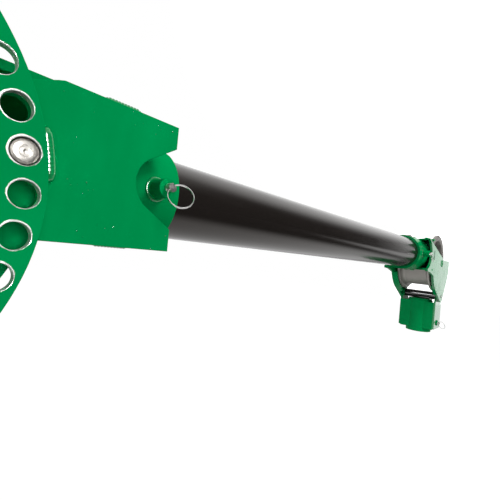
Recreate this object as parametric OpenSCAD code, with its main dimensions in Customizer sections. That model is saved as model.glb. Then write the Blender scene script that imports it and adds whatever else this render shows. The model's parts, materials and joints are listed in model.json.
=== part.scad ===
// Boom that carries a pulling rope from a mast out to a sheave head.
// X runs along the level boom from its pivot to the head, near side is -Y, +Z is up.
// The origin is the mouth of the mast socket.

/* [Boom tube] */
// Outside diameter of the boom tube
tube_d = 127; // [118:0.5:134]
// Wall of the boom tube
tube_wall = 6.4; // [5:0.1:9]
// Length of the boom tube
tube_len = 1524; // [900:1:2400]
// Reach of the root sleeve's mouth past the index discs' rim
root_reach = 182; // [178:1:220]
// Height of the tube's axis over the pivot
boom_rise = 37; // [30:1:45]

/* [Sleeves] */
// Wall of the sleeves that hold the tube's two ends
sleeve_wall = 9; // [7:0.5:10]
// Clearance round the tube in its sleeves
sleeve_gap = 0.5; // [0.3:0.1:0.8]
// Length of each sleeve
sleeve_len = 150; // [130:1:152]
// Distance of the root plunger from its sleeve's mouth
root_plunger_back = 38; // [36:1:42]
// Distance of the head plunger from its collar's mouth
head_plunger_back = 48; // [40:1:56]

/* [Index discs] */
// Radius of the index discs
disc_r = 252; // [248:1:262]
// Thickness of the index discs
disc_t = 10; // [8:0.5:12]
// Distance of the index holes' circle from the discs' rim
hole_inset = 19.5; // [18:0.5:22]
// Number of index holes
hole_count = 36; // [30:1:38]
// Radius of an index hole
index_hole_r = 13.5; // [12.5:0.1:14]
// Angle of the hole that holds the index pin, above level
pin_angle = 9; // [7:0.5:11]
// Radius of the index pin
index_pin_r = 12; // [11:0.1:12.4]
// Reach of the index pin beyond the far disc
pin_overhang = 34; // [25:1:50]

/* [Root bracket] */
// Thickness of the side plates
side_t = 10; // [8:0.5:12]
// Distance from the middle plane to the inner face of a side plate
side_in_y = 90; // [86:0.5:94]
// Half height of the side plates
side_half_h = 84; // [84:0.5:90]
// Distance from the root sleeve's mouth to the middle of the side plates' notch
notch_back = 48; // [44:1:50]
// Distance from the notch's middle to the side plates' front edge
side_front = 19; // [15:1:24]
// Radius of the notch round the plunger
notch_r = 36; // [34:0.5:38]
// Slope of the notch's lips from level
notch_slope = 32; // [28:0.5:36]
// Thickness of the webs that box the side plates in
web_t = 10; // [8:0.5:10.5]

/* [Pivot and mast] */
// Height of the pivot over the socket's mouth
pivot_h = 330; // [310:1:400]
// Radius of the pivot shaft
pivot_r = 25; // [20:0.5:28]
// Wall of the bronze pivot bushes
bush_wall = 5; // [3:0.5:7]
// Wall of the hub tube
hub_wall = 12; // [10:0.5:16]
// Thickness of the mast plates
mast_plate_t = 12; // [10:0.5:13]
// Bore radius of the mast socket
mast_bore_r = 64.2; // [58:0.1:66]
// Wall of the mast socket
mast_wall = 12; // [9:0.5:13]
// Length of the mast socket
mast_socket_len = 180; // [150:1:200]

/* [Head] */
// Gap between the collar's end and the sheave
sheave_gap = 17; // [14:1:36]
// Drop of the sheave's axle below the tube's axis
sheave_drop = 31; // [26:1:36]
// Distance from the middle plane to the inner face of a cheek
cheek_in_y = 82; // [80:0.5:88]
// Thickness of the cheeks
cheek_t = 10; // [8:0.5:12]
// Reach of the cheeks past the sheave's rim
cheek_reach = 17; // [15:0.5:22]
// Height of the cheeks' horns over and under the tube's axis
horn_h = 74; // [72:0.5:80]
// Radius of the scalloped front edge of the cheeks
scallop_r = 64; // [58:0.5:66]
// Thickness of the head's webs
head_web_t = 8; // [6:0.5:10]
// Width of the far guard rims, inside the cheek
rim_w = 16; // [10:0.5:20]
// Width of the near guard rims, inside the cheek
near_rim_w = 6; // [4:0.5:10]
// Thickness of the guard rims
rim_t = 8; // [5:0.5:8]

/* [Sheave] */
// Radius of the sheave's flanges
sheave_r = 134; // [128:0.5:138]
// Radius of the groove's floor
groove_r = 110; // [104:0.5:112]
// Width over the sheave's flanges
sheave_w = 140; // [130:1:144]
// Width of a flange at its edge
flange_w = 11; // [8:0.5:14]
// Radius of the groove's corners
groove_fillet = 17; // [13:0.5:19]
// Radius of the sheave's axle
axle_r = 16; // [12:0.5:19]

/* [Keeper roller] */
// Distance of the roller's shaft ahead of the sheave's axle
roller_ahead = 40; // [30:1:50]
// Drop of the roller's shaft below the sheave's axle
roller_drop = 159; // [158:0.5:166]
// Radius of the keeper roller
roller_r = 18.5; // [16:0.5:19.5]
// Radius of the roller's shaft
roller_shaft_r = 8; // [6:0.5:9]
// Radius of the cheeks' tips round the roller's shaft
tip_r = 29; // [26:0.5:32]

/* [Conduit socket] */
// Bore radius of the conduit socket
conduit_r = 51.4; // [50:0.1:52]
// Wall of the conduit socket
conduit_wall = 4.6; // [4:0.1:6]
// Length of the conduit socket
conduit_len = 152; // [146:1:160]
// Drop of the conduit socket's top below the roller's shaft
conduit_drop = 28; // [27.5:0.5:32]
// Height of the socket's plunger over the socket's mouth
socket_plunger_up = 50; // [44:1:60]
// Thickness of the socket's side plates and wings
socket_t = 8; // [6:0.5:9]

/* [Plungers] */
// Radius of a plunger's tip
tip_pin_r = 8; // [6:0.1:8.5]
// Radius of a plunger's stem
stem_r = 5; // [4:0.1:5.5]
// Outside radius of a plunger's housing
housing_r = 13; // [12.5:0.1:14]
// Length of the root plunger's housing beyond its sleeve
root_housing = 28; // [27:0.5:34]
// Length of the head plunger's housing beyond its collar
head_housing = 24; // [23:0.5:25]
// Length of the socket plunger's housing beyond the conduit socket
socket_housing = 28; // [27:0.5:30]
// Radius of a pull ring's wire circle
ring_r = 17.5; // [16:0.1:20]
// Radius of a pull ring's wire
ring_wire_r = 1.3; // [1:0.1:1.5]

/* [Hidden] */
$fn = 96;

// Paint and metal colours
green = [0, 0.55, 0.28];
satin_black = [0.13, 0.12, 0.12];
gloss_black = [0.03, 0.03, 0.03];
cast_grey = [0.55, 0.53, 0.51];
steel = [0.72, 0.72, 0.7];
bronze = [0.72, 0.52, 0.28];

// Clearances
fit = 0.05;
seat = 0.3;
slack = 0.5;
// How far a cutting shape runs past a face
over = 1;

// Places that follow from the discs
root_mouth_x = disc_r + root_reach;
hole_circle_r = disc_r - hole_inset;

// Tube and sleeves
tube_r = tube_d / 2;
sleeve_in_r = tube_r + sleeve_gap;
sleeve_r = sleeve_in_r + sleeve_wall;
boom_z = pivot_h + boom_rise;
root_plunger_x = root_mouth_x - root_plunger_back;
notch_x = root_mouth_x - notch_back;
root_sleeve_x = root_mouth_x - sleeve_len;
tube_inset = 1;
// How far the head's collar runs past the tube's end
collar_past_tube = 5;
tube_x = root_sleeve_x + tube_inset;
head_collar_end = tube_x + tube_len + collar_past_tube;
head_mouth_x = head_collar_end - sleeve_len;
head_plunger_x = head_mouth_x + head_plunger_back;

// Discs
side_out_y = side_in_y + side_t;
disc_out_y = side_out_y + disc_t;
hole_pitch = 360 / hole_count;

// Side plates, measured from the tube's axis
side_front_x = notch_x + side_front;
side_lap = 62;
top_corner_past_disc = 3;
low_corner_lap = 1;
top_step_lap = 23;
side_rear_x = disc_r - side_lap;
side_top_corner_x = disc_r + top_corner_past_disc;
side_low_corner_x = disc_r - low_corner_lap;
top_step_x = disc_r - top_step_lap;
lip_x = notch_x - notch_r * sin(notch_slope);
lip_z = notch_r * cos(notch_slope);
lip_end_z = lip_z + (side_front_x - lip_x) * tan(notch_slope);
web_rear_x = root_sleeve_x - web_t;
top_web_lap = 47;
top_web_rear_x = disc_r - top_web_lap;
web_past_notch = 4;
web_front_x = notch_x + web_past_notch;

// Pin
pin_x = hole_circle_r * cos(pin_angle);
pin_z = pivot_h + hole_circle_r * sin(pin_angle);

// Mast
bush_r = pivot_r + fit;
bush_out_r = bush_r + bush_wall;
bush_len = 38;
bush_flange_step = 5;
bush_flange_r = bush_out_r + bush_flange_step;
bush_flange_t = 3;
hub_bore_r = bush_out_r + fit;
hub_r = hub_bore_r + hub_wall;
hub_half = side_out_y - slack - bush_flange_t;
mast_out_r = mast_bore_r + mast_wall;
mast_side_gap = 1;
mast_plate_out_y = side_in_y - mast_side_gap;
mast_plate_in_y = mast_plate_out_y - mast_plate_t;
arm_top_z = pin_z - index_pin_r - seat;
arm_drop = 112;
arm_slope_run = 35;
arm_nose_rise = 66;
arm_low_z = pivot_h - arm_drop;
arm_inset = 4;
arm_x = sqrt(pow(disc_r - arm_inset, 2) - pow(arm_top_z - pivot_h, 2));
arm_plate_t = 10;
arm_hub_gap = 12;
arm_rear_x = hub_r + arm_hub_gap;
arm_slope_x = arm_x - arm_slope_run;
arm_nose_z = arm_low_z + arm_nose_rise;
boss_r = 72;
leg_low_z = 24;
cap_t = 10;

// Bolts that clamp the mast, their welded nuts and how deep these sit in the socket's round
clamp_heights = [45, 135];
bolt_r = 8;
nut_across = 24;
nut_h = 14;
nut_sink = 3;
bolt_head_h = 10;
bolt_grip = 12;
nut_x = -mast_out_r - nut_h;
hex_r = nut_across / sqrt(3);

// Head
cheek_out_y = cheek_in_y + cheek_t;
cheek_r = sheave_r + cheek_reach;
sheave_x = head_collar_end + sheave_gap + sheave_r;
sheave_z = boom_z - sheave_drop;
roller_x = sheave_x + roller_ahead;
roller_z = sheave_z - roller_drop;
plunger_to_horn = 14;
horn_x = head_plunger_x + plunger_to_horn;
cross_x = head_collar_end;
web_tab_len = 22;
web_tab_back = 62;

// Conduit socket
socket_side_gap = 1.5;
roller_side_gap = 0.7;
socket_out_y = cheek_in_y - socket_side_gap;
socket_in_y = socket_out_y - socket_t;
roller_half = socket_in_y - roller_side_gap;
conduit_out_r = conduit_r + conduit_wall;
conduit_top_z = roller_z - conduit_drop;
conduit_low_z = conduit_top_z - conduit_len;
socket_plunger_z = conduit_low_z + socket_plunger_up;

// Sheave
hub_side_gap = 4;
sheave_bush_wall = 4;
sheave_bush_r = axle_r + fit;
sheave_bush_out_r = sheave_bush_r + sheave_bush_wall;

// Shared shapes

module y_cylinder(r, y0, y1) {
  translate([0, y1, 0]) rotate([90, 0, 0]) cylinder(r = r, h = y1 - y0);
}

module x_cylinder(r, x0, x1) {
  translate([x0, 0, 0]) rotate([0, 90, 0]) cylinder(r = r, h = x1 - x0);
}

// An outline in X and Z, drawn as a plate from y0 to y1
module y_plate(y0, y1) {
  translate([0, y1, 0]) rotate([90, 0, 0]) linear_extrude(y1 - y0) children();
}

module box(x0, x1, y0, y1, z0, z1) {
  translate([x0, y0, z0]) cube([x1 - x0, y1 - y0, z1 - z0]);
}

module near() {
  mirror([0, 1, 0]) children();
}

module both_sides() {
  children();
  mirror([0, 1, 0]) children();
}

function arc_points(x, z, r, a0, a1, n) =
  [for (i = [0 : n]) [x + r * cos(a0 + (a1 - a0) * i / n), z + r * sin(a0 + (a1 - a0) * i / n)]];

// Mast

module mast_socket_tube() {
  color(green) difference() {
    cylinder(r = mast_out_r, h = mast_socket_len);
    translate([0, 0, -over]) cylinder(r = mast_bore_r, h = mast_socket_len + 2 * over);
    for (z = clamp_heights) translate([0, 0, z]) x_cylinder(bolt_r + seat, -mast_out_r - over, 0);
  }
}

module mast_cap() {
  color(green) translate([0, 0, mast_socket_len]) cylinder(r = mast_out_r, h = cap_t);
}

module mast_outline() {
  translate([0, pivot_h]) circle(r = boss_r);
  polygon([
    [-mast_out_r, leg_low_z], [mast_out_r, leg_low_z], [mast_out_r, mast_socket_len],
    [arm_slope_x, arm_low_z], [arm_x, arm_nose_z], [arm_x, arm_top_z], [0, arm_top_z],
    [-boss_r, pivot_h], [-mast_out_r, mast_socket_len]
  ]);
}

module mast_plate() {
  y_plate(mast_plate_in_y, mast_plate_out_y) difference() {
    mast_outline();
    translate([0, pivot_h]) circle(r = hub_r + fit);
  }
}

module near_mast_plate() { color(green) near() mast_plate(); }
module far_mast_plate() { color(green) mast_plate(); }

module hub_tube() {
  color(green) translate([0, 0, pivot_h]) difference() {
    y_cylinder(hub_r, -hub_half, hub_half);
    y_cylinder(hub_bore_r, -hub_half - over, hub_half + over);
  }
}

module pivot_bush() {
  difference() {
    union() {
      y_cylinder(bush_out_r, hub_half - bush_len, hub_half);
      y_cylinder(bush_flange_r, hub_half, hub_half + bush_flange_t);
    }
    y_cylinder(bush_r, hub_half - bush_len - over, hub_half + bush_flange_t + over);
  }
}

module pivot_bushes() {
  color(bronze) translate([0, 0, pivot_h]) both_sides() pivot_bush();
}

module arm_top_plate() {
  color(green) box(arm_rear_x, arm_x, -mast_plate_in_y, mast_plate_in_y,
    arm_top_z - arm_plate_t, arm_top_z);
}

module arm_front_plate() {
  color(green) box(arm_x - arm_plate_t, arm_x, -mast_plate_in_y, mast_plate_in_y,
    arm_nose_z, arm_top_z - arm_plate_t);
}

module arm_bottom_plate() {
  color(green) box(arm_rear_x, arm_slope_x, -mast_plate_in_y, mast_plate_in_y,
    arm_low_z, arm_low_z + arm_plate_t);
}

// Nuts welded to the socket's round, and the bolts that clamp the mast through them
module clamp_nuts() {
  color(green) difference() {
    for (z = clamp_heights) translate([nut_x, 0, z]) rotate([0, 90, 0])
      cylinder(r = hex_r, h = nut_h + nut_sink, $fn = 6);
    for (z = clamp_heights) translate([0, 0, z]) x_cylinder(bolt_r + fit, nut_x - over, 0);
    cylinder(r = mast_out_r, h = mast_socket_len);
  }
}

module clamp_bolts() {
  color(steel) for (z = clamp_heights) translate([0, 0, z]) {
    x_cylinder(bolt_r, nut_x - bolt_grip, -mast_bore_r - seat);
    translate([nut_x - bolt_grip - bolt_head_h, 0, 0]) rotate([0, 90, 0])
      cylinder(r = hex_r, h = bolt_head_h, $fn = 6);
  }
}

// Root bracket of the boom

module index_disc() {
  translate([0, 0, pivot_h]) difference() {
    y_plate(side_out_y, disc_out_y) difference() {
      circle(r = disc_r, $fn = 180);
      for (i = [0 : hole_count - 1]) rotate(pin_angle + i * hole_pitch) translate([hole_circle_r, 0])
        circle(r = index_hole_r, $fn = 48);
    }
    y_cylinder(pivot_r + fit, side_out_y - over, disc_out_y + over);
  }
}

module near_index_disc() { color(green) near() index_disc(); }
module far_index_disc() { color(green) index_disc(); }

quarter = 90;
plate_rear_z = [-60, 50];
plate_top_step = [71, side_half_h - 2];
plate_low_step_z = -66;
corner_cut = 6;

// Side plate in X and Z, with Z measured from the tube's axis
module side_outline() {
  difference() {
    polygon(concat(
      [
        [side_rear_x, plate_rear_z[1]], [top_step_x, plate_top_step[0]],
        [side_top_corner_x, plate_top_step[1]], [side_top_corner_x + corner_cut, side_half_h],
        [side_front_x, side_half_h], [side_front_x, lip_end_z]
      ],
      arc_points(notch_x, 0, notch_r, quarter + notch_slope, 3 * quarter - notch_slope, 24),
      [
        [side_front_x, -lip_end_z], [side_front_x, -side_half_h], [side_low_corner_x, -side_half_h],
        [side_low_corner_x - corner_cut, plate_low_step_z], [side_rear_x, plate_rear_z[0]]
      ]
    ));
    for (i = [-1 : 2]) translate([0, -boom_rise]) rotate(pin_angle + i * hole_pitch)
      translate([hole_circle_r, 0]) circle(r = index_hole_r, $fn = 48);
  }
}

module side_plate() {
  translate([0, 0, boom_z]) y_plate(side_in_y, side_out_y) side_outline();
}

module near_side_plate() { color(green) near() side_plate(); }
module far_side_plate() { color(green) side_plate(); }

module rear_bulkhead() {
  color(green) box(web_rear_x, root_sleeve_x, -side_in_y, side_in_y,
    boom_z - side_half_h + web_t, boom_z + side_half_h - web_t);
}

module root_web(rear_x, z) {
  difference() {
    box(rear_x, web_front_x, -side_in_y, side_in_y, z, z + web_t);
    translate([0, 0, boom_z]) x_cylinder(sleeve_r + fit, rear_x - over, web_front_x + over);
  }
}

module top_web() { color(green) root_web(top_web_rear_x, boom_z + side_half_h - web_t); }
module bottom_web() { color(green) root_web(web_rear_x, boom_z - side_half_h); }

// A sleeve round the tube, with the hole for its plunger on the near side
module sleeve(x, plunger_x) {
  difference() {
    x_cylinder(sleeve_r, x, x + sleeve_len);
    x_cylinder(sleeve_in_r, x - over, x + sleeve_len + over);
    translate([plunger_x, 0, 0]) y_cylinder(tip_pin_r + fit, -sleeve_r - over, 0);
  }
}

module root_sleeve() {
  color(green) translate([0, 0, boom_z]) sleeve(root_sleeve_x, root_plunger_x);
}

// The head's plunger rides in a groove round the tube, so the head swivels but can't slide off
groove_depth = 3.5;
groove_slack = 1;
groove_w = 2 * tip_pin_r + groove_slack;

module boom_tube() {
  color(satin_black) translate([0, 0, boom_z]) difference() {
    x_cylinder(tube_r, tube_x, tube_x + tube_len);
    x_cylinder(tube_r - tube_wall, tube_x - over, tube_x + tube_len + over);
    translate([root_plunger_x, 0, 0]) y_cylinder(tip_pin_r + slack, -tube_r - over, 0);
    difference() {
      x_cylinder(tube_r + over, head_plunger_x - groove_w / 2, head_plunger_x + groove_w / 2);
      x_cylinder(tube_r - groove_depth, head_plunger_x - groove_w, head_plunger_x + groove_w);
    }
  }
}

shaft_collar_t = 16;
shaft_collar_r = 44;
shaft_past_collar = 4;
shaft_half = disc_out_y + shaft_collar_t + shaft_past_collar;

module pivot_shaft() {
  color(steel) translate([0, 0, pivot_h]) y_cylinder(pivot_r, -shaft_half, shaft_half);
}

module shaft_collars() {
  color(green) translate([0, 0, pivot_h]) both_sides() difference() {
    y_cylinder(shaft_collar_r, disc_out_y, disc_out_y + shaft_collar_t);
    y_cylinder(pivot_r + fit, disc_out_y - over, disc_out_y + shaft_collar_t + over);
  }
}

// Index pin, pushed through both discs from the far side
handle_r = 7;
handle_half = 45;
handle_from_end = 12;
pin_chamfer = 2;
index_pin_end_y = disc_out_y + pin_overhang;
pin_shank = index_pin_end_y + disc_out_y - pin_chamfer;

module index_pin() {
  color(steel) translate([pin_x, 0, pin_z]) difference() {
    rotate([90, 0, 0]) translate([0, 0, -index_pin_end_y]) union() {
      cylinder(r = index_pin_r, h = pin_shank);
      translate([0, 0, pin_shank])
        cylinder(r1 = index_pin_r, r2 = index_pin_r - pin_chamfer, h = pin_chamfer);
    }
    translate([0, index_pin_end_y - handle_from_end, 0])
      x_cylinder(handle_r + fit, -index_pin_r - over, index_pin_r + over);
  }
}

module index_pin_handle() {
  color(steel) translate([pin_x, index_pin_end_y - handle_from_end, pin_z])
    x_cylinder(handle_r, -handle_half, handle_half);
}

// Spring plungers. Each is drawn at the origin: body_r is the radius of the round sleeve that its
// housing is welded to, len the housing's length beyond it, and the tip points at +Y.
stem_gap = 0.2;
stem_bore = stem_r + stem_gap;
cap_wall = 6;
housing_sink = 6;
collar_h = 4;
collar_in = 2;
chamber_wall = 3.5;
chamber_r = housing_r - chamber_wall;
collar_r = chamber_r - seat;
spring_wall = 1;
spring_r = (chamber_r + stem_r) / 2;
stem_out = 11;
eye_r = 6;
eye_half = 4.2;
eye_from_end = 5;
eye_root = 2;
neck_step = 1;
ring_hole_gap = 0.7;
ring_rest = 0.2;
ring_hole_r = ring_wire_r + ring_hole_gap;
ring_drop = ring_r - ring_rest;

module plunger_housing(body_r, len) {
  difference() {
    y_cylinder(housing_r, -body_r - len, -body_r + housing_sink);
    y_cylinder(chamber_r, -body_r - len + cap_wall, 0);
    y_cylinder(stem_bore, -body_r - len - over, 0);
    children();
  }
}

// The pin: its tip ends at tip_y, its collar holds the spring and its flattened eye the ring
module plunger_pin(body_r, len, tip_y) {
  end_y = -body_r - len - stem_out;
  collar_y = -body_r - collar_in;
  difference() {
    union() {
      y_cylinder(tip_pin_r, collar_y, tip_y);
      y_cylinder(collar_r, collar_y - collar_h, collar_y);
      y_cylinder(stem_r - neck_step, end_y + neck_step, collar_y);
      y_cylinder(stem_r, -body_r - len - over, collar_y);
      intersection() {
        y_cylinder(eye_r, end_y, end_y + stem_out - eye_root);
        box(-eye_half, eye_half, end_y - over, 0, -eye_r, eye_r);
      }
    }
    translate([0, end_y + eye_from_end, 0]) x_cylinder(ring_hole_r, -eye_r, eye_r);
  }
}

// Drawn as the sleeve that the coil fills
module plunger_spring(body_r, len) {
  y0 = -body_r - len + cap_wall;
  y1 = -body_r - collar_in - collar_h;
  difference() {
    y_cylinder(spring_r + spring_wall, y0, y1);
    y_cylinder(spring_r - spring_wall, y0 - over, y1 + over);
  }
}

// The ring hangs in the eye and leans out from the housing by the angle lean
module pull_ring(body_r, len, lean) {
  translate([0, -body_r - len - stem_out + eye_from_end, 0]) rotate([90 - lean, 0, 0])
    translate([0, -ring_drop, 0]) rotate_extrude() translate([ring_r, 0]) circle(r = ring_wire_r, $fn = 24);
}

root_lean = 35;
head_lean = 20;
socket_lean = 45;
// The eyes of the root's and the socket's plungers are turned round their pins
eye_turn = -45;

module at_root_plunger() { translate([root_plunger_x, 0, boom_z]) children(); }
module at_head_plunger() { translate([head_plunger_x, 0, boom_z]) children(); }
module at_socket_plunger() { translate([roller_x, 0, socket_plunger_z]) children(); }

module sleeve_plunger_housing(len) {
  plunger_housing(sleeve_r, len) x_cylinder(sleeve_r, -2 * housing_r, 2 * housing_r);
}

module root_plunger_housing() { color(green) at_root_plunger() sleeve_plunger_housing(root_housing); }
module root_plunger() {
  color(steel) at_root_plunger() rotate([0, eye_turn, 0])
    plunger_pin(sleeve_r, root_housing, tube_wall - tube_r);
}

module root_plunger_spring() { color(steel) at_root_plunger() plunger_spring(sleeve_r, root_housing); }

module root_pull_ring() {
  color(steel) at_root_plunger() rotate([0, eye_turn, 0]) pull_ring(sleeve_r, root_housing, root_lean);
}

head_tip_y = groove_depth - tube_r - seat;

module head_plunger_housing() { color(green) at_head_plunger() sleeve_plunger_housing(head_housing); }
module head_plunger() { color(steel) at_head_plunger() plunger_pin(sleeve_r, head_housing, head_tip_y); }
module head_plunger_spring() { color(steel) at_head_plunger() plunger_spring(sleeve_r, head_housing); }
module head_pull_ring() { color(steel) at_head_plunger() pull_ring(sleeve_r, head_housing, head_lean); }

// Head

module head_collar() {
  color(green) translate([0, 0, boom_z]) sleeve(head_mouth_x, head_plunger_x);
}

// Where the straight edge that touches the cheek's round and its tip leaves each of them
tip_dist = norm([roller_ahead, roller_drop]);
tip_dir = atan2(-roller_drop, roller_ahead);
edge_turn = acos((cheek_r - tip_r) / tip_dist);
front_edge_a = tip_dir - edge_turn;
back_edge_a = tip_dir + edge_turn;

function on_circle(c, r, a) = [c[0] + r * cos(a), c[1] + r * sin(a)];

// The cheek's pieces in X and Z, drawn with the sheave's axle at the origin
axle_at = [0, 0];
tip_at = [roller_ahead, -roller_drop];
horn_at = horn_x - sheave_x;
horn_top = sheave_drop + horn_h;
horn_low = sheave_drop - horn_h;
horn_end = 8;
horn_nose = [4, 6];
shoulder = [38, 17];
low_horn_run = [40, 3];
horn_base_z = -30;
low_edge_drop = 18;
low_edge_z = horn_low - low_edge_drop;
scallop_back = 10;
low_edge_x = -sqrt(pow(cheek_r, 2) - pow(low_edge_z, 2));

module cheek_round() {
  intersection() {
    circle(r = cheek_r, $fn = 180);
    translate([-cheek_r, -cheek_r]) square([2 * cheek_r, cheek_r + shoulder[1]]);
  }
}

module cheek_taper() {
  polygon([
    axle_at, on_circle(axle_at, cheek_r, front_edge_a), on_circle(tip_at, tip_r, front_edge_a), tip_at,
    on_circle(tip_at, tip_r, back_edge_a), on_circle(axle_at, cheek_r, back_edge_a)
  ]);
}

module cheek_horns() {
  polygon([
    [horn_at, horn_top - horn_end], [horn_at + horn_nose[0], horn_top - horn_nose[1]],
    shoulder, [0, horn_base_z],
    [low_edge_x, low_edge_z], [horn_at + low_horn_run[0], horn_low - low_horn_run[1]],
    [horn_at, horn_low], [horn_at, horn_low + horn_end]
  ]);
}

web_from_horn = 8;
head_web_z = horn_h - web_from_horn;
web_tab_x = horn_x + web_tab_back;
cross_tab_h = 40;
web_end_x = cross_x + head_web_t;
web_scallop_side = 12;

module web_tab_slots() {
  for (z = [head_web_z, -head_web_z])
    translate([web_tab_x - sheave_x, sheave_drop + z - head_web_t / 2 - fit])
      square([web_tab_len + 2 * fit, head_web_t + 2 * fit]);
  translate([cross_x - sheave_x - fit, sheave_drop - cross_tab_h / 2 - fit])
    square([head_web_t + 2 * fit, cross_tab_h + 2 * fit]);
}

module cheek(front_a) {
  translate([sheave_x, 0, sheave_z]) difference() {
    union() {
      y_plate(cheek_in_y, cheek_out_y) cheek_round();
      y_plate(cheek_in_y, cheek_out_y) cheek_taper();
      y_plate(cheek_in_y, cheek_out_y) cheek_horns();
      translate([roller_ahead, 0, -roller_drop]) y_cylinder(tip_r, cheek_in_y, cheek_out_y);
    }
    translate([horn_at - scallop_back, 0, sheave_drop])
      y_cylinder(scallop_r, cheek_in_y - over, cheek_out_y + over);
    y_cylinder(axle_r + fit, cheek_in_y - over, cheek_out_y + over);
    translate([roller_ahead, 0, -roller_drop])
      y_cylinder(roller_shaft_r + fit, cheek_in_y - over, cheek_out_y + over);
    y_plate(cheek_in_y - over, cheek_out_y + over) web_tab_slots();
    y_plate(cheek_in_y - over, cheek_out_y + over) rim_tabs(front_a);
  }
}

module near_cheek() { color(green) near() cheek(near_rim_a); }
module far_cheek() { color(green) cheek(far_rim_a); }

// Guard rims: an arc along the cheek's round and a straight run toward its tip, on each edge.
// The near cheek's front arc starts lower than the far one's.
far_rim_a = 203;
near_rim_a = 227;
back_rim_a = -6;
first_tab_turn = 5;
front_tab_pitch = 9;
last_tab_a = 240;
back_tab_angles = [-11, -19, -27];
run_tabs = [8, 30];
front_run = 42;
back_run = 40;
tab = [4, 12];
tab_at = cheek_r - rim_t / 2 - tab[0] / 2;

function edge_a(a) = a < 0 ? a + 360 : a;

module rim_arc(a0, a1) {
  intersection() {
    difference() {
      circle(r = cheek_r, $fn = 180);
      circle(r = cheek_r - rim_t, $fn = 180);
    }
    polygon([[0, 0], on_circle([0, 0], 2 * cheek_r, a0), on_circle([0, 0], 2 * cheek_r, a1)]);
  }
}

module rim_run(a, len, turn) {
  rotate(a) translate([cheek_r - rim_t, turn > 0 ? 0 : -len]) square([rim_t, len]);
}

module rim_outline(front_a) {
  rim_arc(front_a, edge_a(front_edge_a));
  rim_run(front_edge_a, front_run, 1);
  rim_arc(back_edge_a, back_rim_a);
  rim_run(back_edge_a, back_run, -1);
}

function front_tabs(front_a) = [for (a = [front_a + first_tab_turn : front_tab_pitch : last_tab_a]) a];

module rim_tabs(front_a) {
  for (a = concat(front_tabs(front_a), back_tab_angles)) rotate(a) translate([tab_at, 0])
    square(tab, center = true);
  for (s = run_tabs) {
    rotate(front_edge_a) translate([tab_at, s]) square(tab, center = true);
    rotate(back_edge_a) translate([tab_at, -s]) square(tab, center = true);
  }
}

module guard_rims(front_a, w) {
  translate([sheave_x, 0, sheave_z]) {
    y_plate(cheek_in_y - w, cheek_in_y) rim_outline(front_a);
    y_plate(cheek_in_y, cheek_out_y) rim_tabs(front_a);
  }
}

module near_guard_rims() { color(green) near() guard_rims(near_rim_a, near_rim_w); }
module far_guard_rims() { color(green) guard_rims(far_rim_a, rim_w); }

module head_web(z) {
  difference() {
    union() {
      box(horn_x, web_end_x, -cheek_in_y, cheek_in_y, z - head_web_t / 2, z + head_web_t / 2);
      box(web_tab_x, web_tab_x + web_tab_len, -cheek_out_y, cheek_out_y,
        z - head_web_t / 2, z + head_web_t / 2);
    }
    translate([0, 0, boom_z]) x_cylinder(sleeve_r + fit, head_mouth_x, head_collar_end);
    translate([horn_x, 0, z - head_web_t]) cylinder(r = cheek_in_y - web_scallop_side, h = 2 * head_web_t);
  }
}

module head_top_web() { color(green) head_web(boom_z + head_web_z); }
module head_bottom_web() { color(green) head_web(boom_z - head_web_z); }

module head_cross_web() {
  color(green) union() {
    box(cross_x, web_end_x, -cheek_in_y, cheek_in_y,
      boom_z - head_web_z + head_web_t / 2, boom_z + head_web_z - head_web_t / 2);
    box(cross_x, web_end_x, -cheek_out_y, cheek_out_y, boom_z - cross_tab_h / 2, boom_z + cross_tab_h / 2);
  }
}

module sheave_axle() {
  color(green) translate([sheave_x, 0, sheave_z]) y_cylinder(axle_r, -cheek_out_y, cheek_out_y);
}

shaft_overhang = 2;

module keeper_shaft() {
  color(steel) translate([roller_x, 0, roller_z])
    y_cylinder(roller_shaft_r, -cheek_out_y - shaft_overhang, cheek_out_y + shaft_overhang);
}

// Sheave: half of its section as radius and width, from the groove's floor out to the hub
sheave_hub_wall = 14;
groove_floor_t = 12;
hub_out_r = sheave_bush_out_r + sheave_hub_wall;
rim_in_r = groove_r - groove_floor_t;
web_half = 9;
flange_drop = 6;
flange_in = sheave_w / 2 - flange_w;
floor_half = flange_in - groove_fillet;
sheave_hub_half = cheek_in_y - hub_side_gap;
edge_r = 3;

half_section = concat(
  arc_points(groove_r + groove_fillet, floor_half, groove_fillet, 180, 90, 10),
  arc_points(sheave_r - edge_r, flange_in + edge_r, edge_r, -90, 0, 4),
  arc_points(sheave_r - edge_r, sheave_w / 2 - edge_r, edge_r, 0, 90, 4),
  [
    [rim_in_r + 2 * flange_drop, sheave_w / 2], [rim_in_r + flange_drop, sheave_w / 2 - flange_drop],
    [rim_in_r - edge_r, web_half],
    [hub_out_r + edge_r, web_half], [hub_out_r, sheave_hub_half - edge_r],
    [hub_out_r - edge_r, sheave_hub_half],
    [sheave_bush_out_r + fit, sheave_hub_half]
  ]
);

lightening_holes = 6;
lightening_r = 15;
lightening_a = 30;
sheave_bush_len = 44;

module sheave() {
  color(cast_grey) translate([sheave_x, 0, sheave_z]) rotate([90, 0, 0]) difference() {
    rotate_extrude($fn = 120) polygon(concat(
      half_section,
      [for (i = [len(half_section) - 1 : -1 : 0]) [half_section[i][0], -half_section[i][1]]]
    ));
    for (i = [0 : lightening_holes - 1]) rotate(lightening_a + i * 360 / lightening_holes)
      translate([(hub_out_r + rim_in_r) / 2, 0, -web_half - over])
        cylinder(r = lightening_r, h = 2 * (web_half + over));
  }
}

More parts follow.
